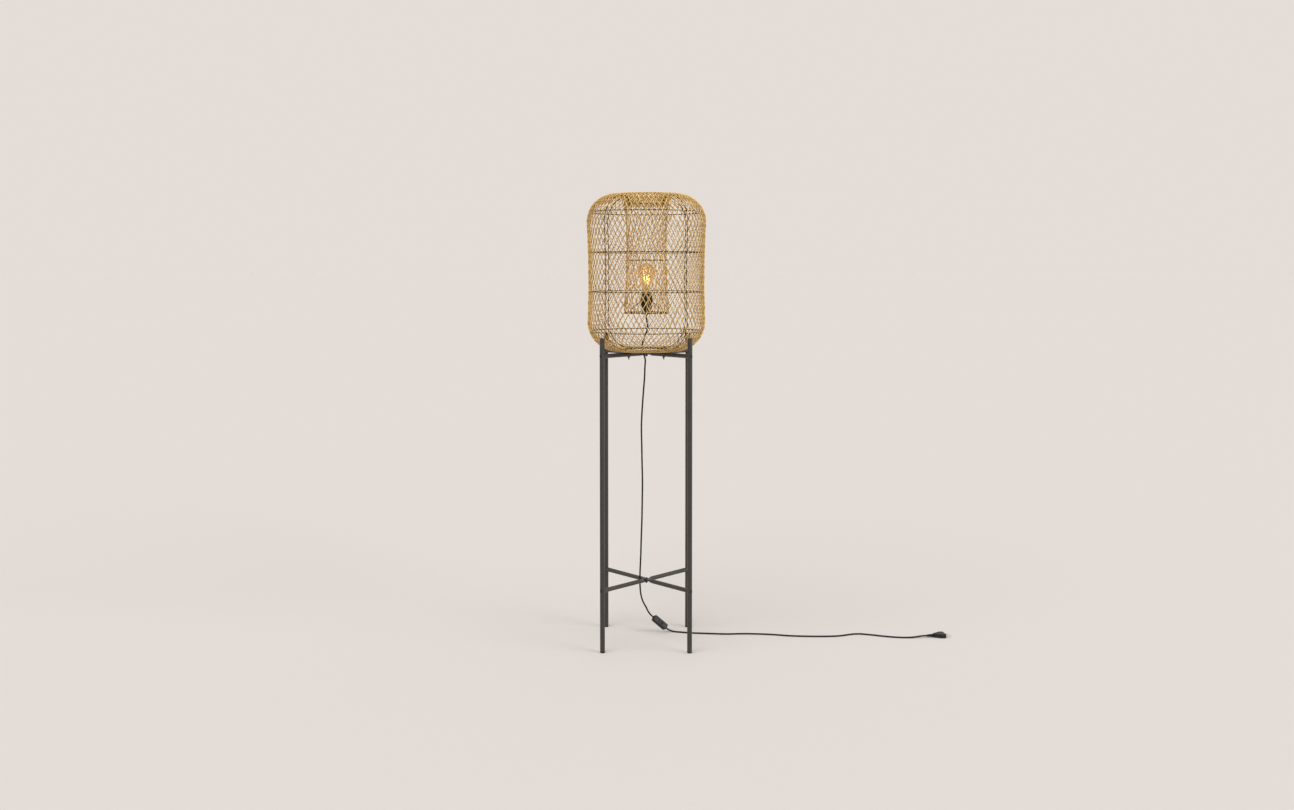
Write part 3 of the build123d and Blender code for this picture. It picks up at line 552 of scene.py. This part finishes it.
def build_shade(material):
    ending, going_on, mouth = weave_paths()
    ending_picks = ending.stations(0, len(ending.s) - 1, STRANDS, WALL_STATIONS)
    wall_picks = going_on.stations(0, mouth, STRANDS, WALL_STATIONS)
    sleeve_picks = going_on.stations(mouth, len(going_on.s) - 1, STRANDS / SLEEVE_EVERY, SLEEVE_STATIONS)
    mouth_s = going_on.s[mouth]
    wall_nodes = ("shade_weave_base", "shade_weave_side", "shade_weave_shoulder")
    for letter, direction in (("a", 1), ("b", -1)):
        first = 0 if direction > 0 else SLEEVE_EVERY // 2     # so that sleeve strands go over and under
        wall, sleeve = [], []
        for number in range(STRANDS):
            if number % SLEEVE_EVERY == first:
                wall.append(strand(going_on, wall_picks, number, direction, mouth_s, WALL_PAINTED_LIGHT))
                sleeve.append(strand(going_on, sleeve_picks, number, direction, mouth_s, SLEEVE_PAINTED_LIGHT))
            else:
                wall.append(strand(ending, ending_picks, number, direction, None, WALL_PAINTED_LIGHT))
        weave_piece(f"weave_outer_{letter}", wall, material, wall_nodes)
        weave_piece(f"weave_sleeve_{letter}", sleeve, material, ("shade_inner_sleeve",))


# Cord

def build_cord(name, route, material):
    curve = bpy.data.curves.new(name, "CURVE")
    curve.dimensions = "3D"
    spline = curve.splines.new("NURBS")
    spline.points.add(len(route) - 1)
    for point, place in zip(spline.points, route):
        point.co = (*place, 1.0)
    spline.order_u = 3
    spline.use_endpoint_u = True
    curve.resolution_u = 12
    curve.bevel_depth = CORD_D / 2
    curve.bevel_resolution = 5
    curve.use_fill_caps = True
    curve.materials.append(material)
    piece = bpy.data.objects.new(name, curve)
    bpy.context.scene.collection.objects.link(piece)
    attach(piece, "lamp")
    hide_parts(name.removesuffix("_line"))


# Floor, light and backdrop

BACKDROP = (0.7758, 0.7230, 0.6795)
FLOOR_TONE = (0.561, 0.542, 0.528)      # comes out close to the backdrop's tone in this light
FLOOR_HALF = 300.0
# Name, azimuth and height of the light in degrees, strength, and how wide it looks in degrees
SUNS = (("key", -40, 52, 1.55, 50), ("side", 62, 24, 1.7, 35))


def build_set():
    world = bpy.data.worlds.new("studio")
    world.use_nodes = True
    world.node_tree.nodes["Background"].inputs["Color"].default_value = rgba(BACKDROP)
    world.node_tree.nodes["Background"].inputs["Strength"].default_value = 1.0
    bpy.context.scene.world = world
    mesh = bpy.data.meshes.new("floor")
    half = FLOOR_HALF
    corners = [(-half, -half, 0), (half, -half, 0), (half, half, 0), (-half, half, 0)]
    mesh.from_pydata(corners, [], [(0, 1, 2, 3)])
    mat, _, shader = new_material("floor")
    shader.inputs["Base Color"].default_value = rgba(FLOOR_TONE)
    shader.inputs["Roughness"].default_value = 1.0
    shader.inputs["Specular IOR Level"].default_value = 0.0
    mesh.materials.append(mat)
    floor = bpy.data.objects.new("floor", mesh)
    bpy.context.scene.collection.objects.link(floor)
    for name, azimuth, elevation, strength, width in SUNS:
        data = bpy.data.lights.new(name, "SUN")
        data.energy = strength
        data.angle = math.radians(width)
        sun = bpy.data.objects.new(name, data)
        sun.rotation_euler = (math.radians(90 - elevation), 0, math.radians(azimuth))
        bpy.context.scene.collection.objects.link(sun)
    view = bpy.context.scene.view_settings
    view.view_transform = "Standard"
    view.look = "None"


def build_bulb_light():
    low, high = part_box("bulb_filaments")
    data = bpy.data.lights.new("bulb_light", "POINT")
    data.energy = 0.4
    data.color = (1.0, 0.66, 0.34)
    data.shadow_soft_size = 0.018
    light = bpy.data.objects.new("bulb_light", data)
    light.location = (low + high) / 2
    bpy.context.scene.collection.objects.link(light)
    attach(light, "bulb")


build_camera()
materials = build_materials()
dress_frame(materials)
build_shade(materials["rattan"])
rubber = materials["black_rubber"]
build_cord("cord_upper_line", UPPER_ROUTE, rubber)
build_cord("cord_lower_line", LOWER_ROUTE, rubber)
build_bulb_light()
build_set()
